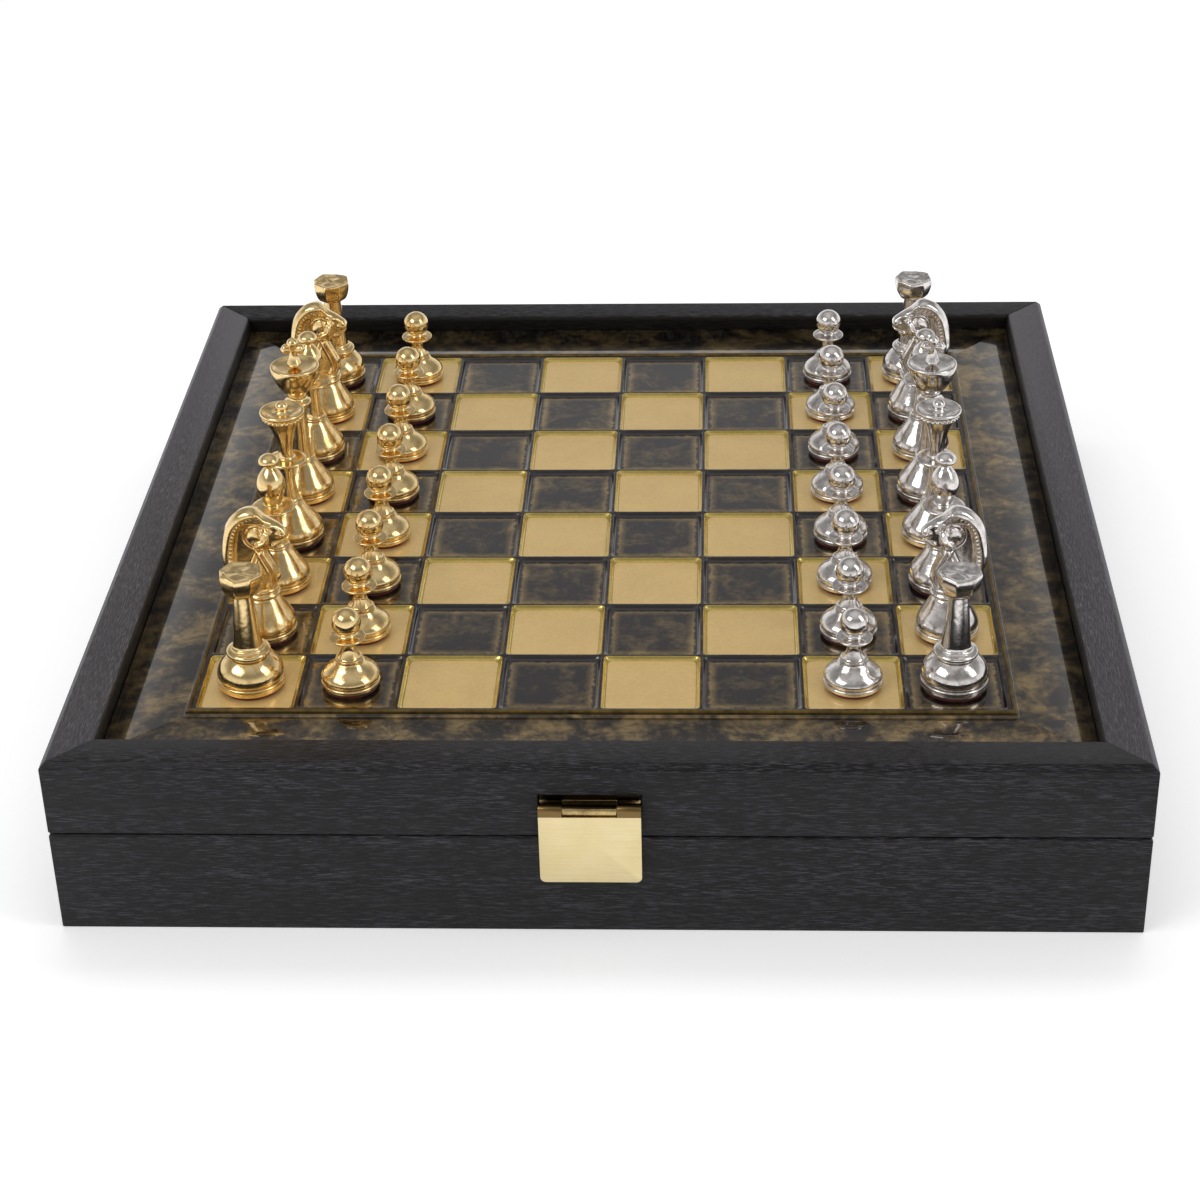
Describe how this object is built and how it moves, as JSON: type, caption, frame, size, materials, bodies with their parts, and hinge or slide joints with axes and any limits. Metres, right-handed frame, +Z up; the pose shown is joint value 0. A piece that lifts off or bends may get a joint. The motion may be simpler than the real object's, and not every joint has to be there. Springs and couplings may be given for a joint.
{
  "type": "chess set with case",
  "caption": "Flat square black wooden chess case with a hinged lid, a recessed embossed metal board on top, a brass clasp, and cast gold and silver chessmen standing on it",
  "frame": {"origin": "middle of the case's flat underside", "axes": "+Z up; +X from the gold army to the silver one; +Y from the clasp at the front to the hinges at the back"},
  "size_m": [0.305, 0.3132, 0.1072],
  "materials": {
    "case_wood": "black stained open grain veneer, satin",
    "panel_wood": "black stained board, matt",
    "lining": "black flock",
    "board_metal": "embossed, patinated and lacquered, gold and grey-brown squares",
    "gold_cast": "polished pale gold plating",
    "silver_cast": "polished silver plating",
    "felt_red": "dark red felt",
    "clasp_brass": "brushed satin, lacquered",
    "hinge_brass": "polished"
  },
  "bodies": {
    "base": {"base_front_wall": "case_wood", "base_right_wall": "case_wood", "base_back_wall": "case_wood", "base_left_wall": "case_wood", "base_bottom_panel": "panel_wood", "insert_floor": "lining", "insert_bars": "lining", "insert_dividers": "lining", "hinge_base_leaves": "hinge_brass", "hinge_pins": "hinge_brass", "clasp_catch": "clasp_brass"},
    "lid": {"lid_front_rail": "case_wood", "lid_right_rail": "case_wood", "lid_back_rail": "case_wood", "lid_left_rail": "case_wood", "lid_backing_panel": "panel_wood", "lid_lining": "lining", "board_plate": "board_metal", "hinge_lid_leaves": "hinge_brass", "clasp_leaf": "clasp_brass", "clasp_pin": "clasp_brass"},
    "clasp": {"clasp_flap": "clasp_brass"},
    "gold_rook_a": {"gold_rook_a": "gold_cast"},
    "gold_knight_b": {"gold_knight_b": "gold_cast"},
    "gold_bishop_c": {"gold_bishop_c": "gold_cast"},
    "gold_queen": {"gold_queen": "gold_cast"},
    "gold_king": {"gold_king": "gold_cast"},
    "gold_bishop_f": {"gold_bishop_f": "gold_cast"},
    "gold_knight_g": {"gold_knight_g": "gold_cast"},
    "gold_rook_h": {"gold_rook_h": "gold_cast"},
    "gold_pawn_a": {"gold_pawn_a": "gold_cast"},
    "gold_pawn_b": {"gold_pawn_b": "gold_cast"},
    "gold_pawn_c": {"gold_pawn_c": "gold_cast"},
    "gold_pawn_d": {"gold_pawn_d": "gold_cast"},
    "gold_pawn_e": {"gold_pawn_e": "gold_cast"},
    "gold_pawn_f": {"gold_pawn_f": "gold_cast"},
    "gold_pawn_g": {"gold_pawn_g": "gold_cast"},
    "gold_pawn_h": {"gold_pawn_h": "gold_cast"},
    "silver_rook_a": {"silver_rook_a": "silver_cast"},
    "silver_knight_b": {"silver_knight_b": "silver_cast"},
    "silver_bishop_c": {"silver_bishop_c": "silver_cast"},
    "silver_queen": {"silver_queen": "silver_cast"},
    "silver_king": {"silver_king": "silver_cast"},
    "silver_bishop_f": {"silver_bishop_f": "silver_cast"},
    "silver_knight_g": {"silver_knight_g": "silver_cast"},
    "silver_rook_h": {"silver_rook_h": "silver_cast"},
    "silver_pawn_a": {"silver_pawn_a": "silver_cast"},
    "silver_pawn_b": {"silver_pawn_b": "silver_cast"},
    "silver_pawn_c": {"silver_pawn_c": "silver_cast"},
    "silver_pawn_d": {"silver_pawn_d": "silver_cast"},
    "silver_pawn_e": {"silver_pawn_e": "silver_cast"},
    "silver_pawn_f": {"silver_pawn_f": "silver_cast"},
    "silver_pawn_g": {"silver_pawn_g": "silver_cast"},
    "silver_pawn_h": {"silver_pawn_h": "silver_cast"}
  },
  "joints": [
    {"name": "lid_hinge", "type": "hinge", "parent": "base", "child": "lid", "pos_m": [0, 0.155, 0.03215], "axis": [-1, 0, 0], "range_deg": [0, 100]},
    {"name": "clasp_hinge", "type": "hinge", "parent": "lid", "child": "clasp", "pos_m": [-0.0014, -0.1545, 0.0426], "axis": [-1, 0, 0], "range_deg": [0, 100]},
    {"name": "gold_rook_a_lift", "type": "slide", "parent": "lid", "child": "gold_rook_a", "axis": [0, 0, 1], "range_m": [0, 0.08]},
    {"name": "gold_knight_b_lift", "type": "slide", "parent": "lid", "child": "gold_knight_b", "axis": [0, 0, 1], "range_m": [0, 0.08]},
    {"name": "gold_bishop_c_lift", "type": "slide", "parent": "lid", "child": "gold_bishop_c", "axis": [0, 0, 1], "range_m": [0, 0.08]},
    {"name": "gold_queen_lift", "type": "slide", "parent": "lid", "child": "gold_queen", "axis": [0, 0, 1], "range_m": [0, 0.08]},
    {"name": "gold_king_lift", "type": "slide", "parent": "lid", "child": "gold_king", "axis": [0, 0, 1], "range_m": [0, 0.08]},
    {"name": "gold_bishop_f_lift", "type": "slide", "parent": "lid", "child": "gold_bishop_f", "axis": [0, 0, 1], "range_m": [0, 0.08]},
    {"name": "gold_knight_g_lift", "type": "slide", "parent": "lid", "child": "gold_knight_g", "axis": [0, 0, 1], "range_m": [0, 0.08]},
    {"name": "gold_rook_h_lift", "type": "slide", "parent": "lid", "child": "gold_rook_h", "axis": [0, 0, 1], "range_m": [0, 0.08]},
    {"name": "gold_pawn_a_lift", "type": "slide", "parent": "lid", "child": "gold_pawn_a", "axis": [0, 0, 1], "range_m": [0, 0.08]},
    {"name": "gold_pawn_b_lift", "type": "slide", "parent": "lid", "child": "gold_pawn_b", "axis": [0, 0, 1], "range_m": [0, 0.08]},
    {"name": "gold_pawn_c_lift", "type": "slide", "parent": "lid", "child": "gold_pawn_c", "axis": [0, 0, 1], "range_m": [0, 0.08]},
    {"name": "gold_pawn_d_lift", "type": "slide", "parent": "lid", "child": "gold_pawn_d", "axis": [0, 0, 1], "range_m": [0, 0.08]},
    {"name": "gold_pawn_e_lift", "type": "slide", "parent": "lid", "child": "gold_pawn_e", "axis": [0, 0, 1], "range_m": [0, 0.08]},
    {"name": "gold_pawn_f_lift", "type": "slide", "parent": "lid", "child": "gold_pawn_f", "axis": [0, 0, 1], "range_m": [0, 0.08]},
    {"name": "gold_pawn_g_lift", "type": "slide", "parent": "lid", "child": "gold_pawn_g", "axis": [0, 0, 1], "range_m": [0, 0.08]},
    {"name": "gold_pawn_h_lift", "type": "slide", "parent": "lid", "child": "gold_pawn_h", "axis": [0, 0, 1], "range_m": [0, 0.08]},
    {"name": "silver_rook_a_lift", "type": "slide", "parent": "lid", "child": "silver_rook_a", "axis": [0, 0, 1], "range_m": [0, 0.08]},
    {"name": "silver_knight_b_lift", "type": "slide", "parent": "lid", "child": "silver_knight_b", "axis": [0, 0, 1], "range_m": [0, 0.08]},
    {"name": "silver_bishop_c_lift", "type": "slide", "parent": "lid", "child": "silver_bishop_c", "axis": [0, 0, 1], "range_m": [0, 0.08]},
    {"name": "silver_queen_lift", "type": "slide", "parent": "lid", "child": "silver_queen", "axis": [0, 0, 1], "range_m": [0, 0.08]},
    {"name": "silver_king_lift", "type": "slide", "parent": "lid", "child": "silver_king", "axis": [0, 0, 1], "range_m": [0, 0.08]},
    {"name": "silver_bishop_f_lift", "type": "slide", "parent": "lid", "child": "silver_bishop_f", "axis": [0, 0, 1], "range_m": [0, 0.08]},
    {"name": "silver_knight_g_lift", "type": "slide", "parent": "lid", "child": "silver_knight_g", "axis": [0, 0, 1], "range_m": [0, 0.08]},
    {"name": "silver_rook_h_lift", "type": "slide", "parent": "lid", "child": "silver_rook_h", "axis": [0, 0, 1], "range_m": [0, 0.08]},
    {"name": "silver_pawn_a_lift", "type": "slide", "parent": "lid", "child": "silver_pawn_a", "axis": [0, 0, 1], "range_m": [0, 0.08]},
    {"name": "silver_pawn_b_lift", "type": "slide", "parent": "lid", "child": "silver_pawn_b", "axis": [0, 0, 1], "range_m": [0, 0.08]},
    {"name": "silver_pawn_c_lift", "type": "slide", "parent": "lid", "child": "silver_pawn_c", "axis": [0, 0, 1], "range_m": [0, 0.08]},
    {"name": "silver_pawn_d_lift", "type": "slide", "parent": "lid", "child": "silver_pawn_d", "axis": [0, 0, 1], "range_m": [0, 0.08]},
    {"name": "silver_pawn_e_lift", "type": "slide", "parent": "lid", "child": "silver_pawn_e", "axis": [0, 0, 1], "range_m": [0, 0.08]},
    {"name": "silver_pawn_f_lift", "type": "slide", "parent": "lid", "child": "silver_pawn_f", "axis": [0, 0, 1], "range_m": [0, 0.08]},
    {"name": "silver_pawn_g_lift", "type": "slide", "parent": "lid", "child": "silver_pawn_g", "axis": [0, 0, 1], "range_m": [0, 0.08]},
    {"name": "silver_pawn_h_lift", "type": "slide", "parent": "lid", "child": "silver_pawn_h", "axis": [0, 0, 1], "range_m": [0, 0.08]}
  ]
}
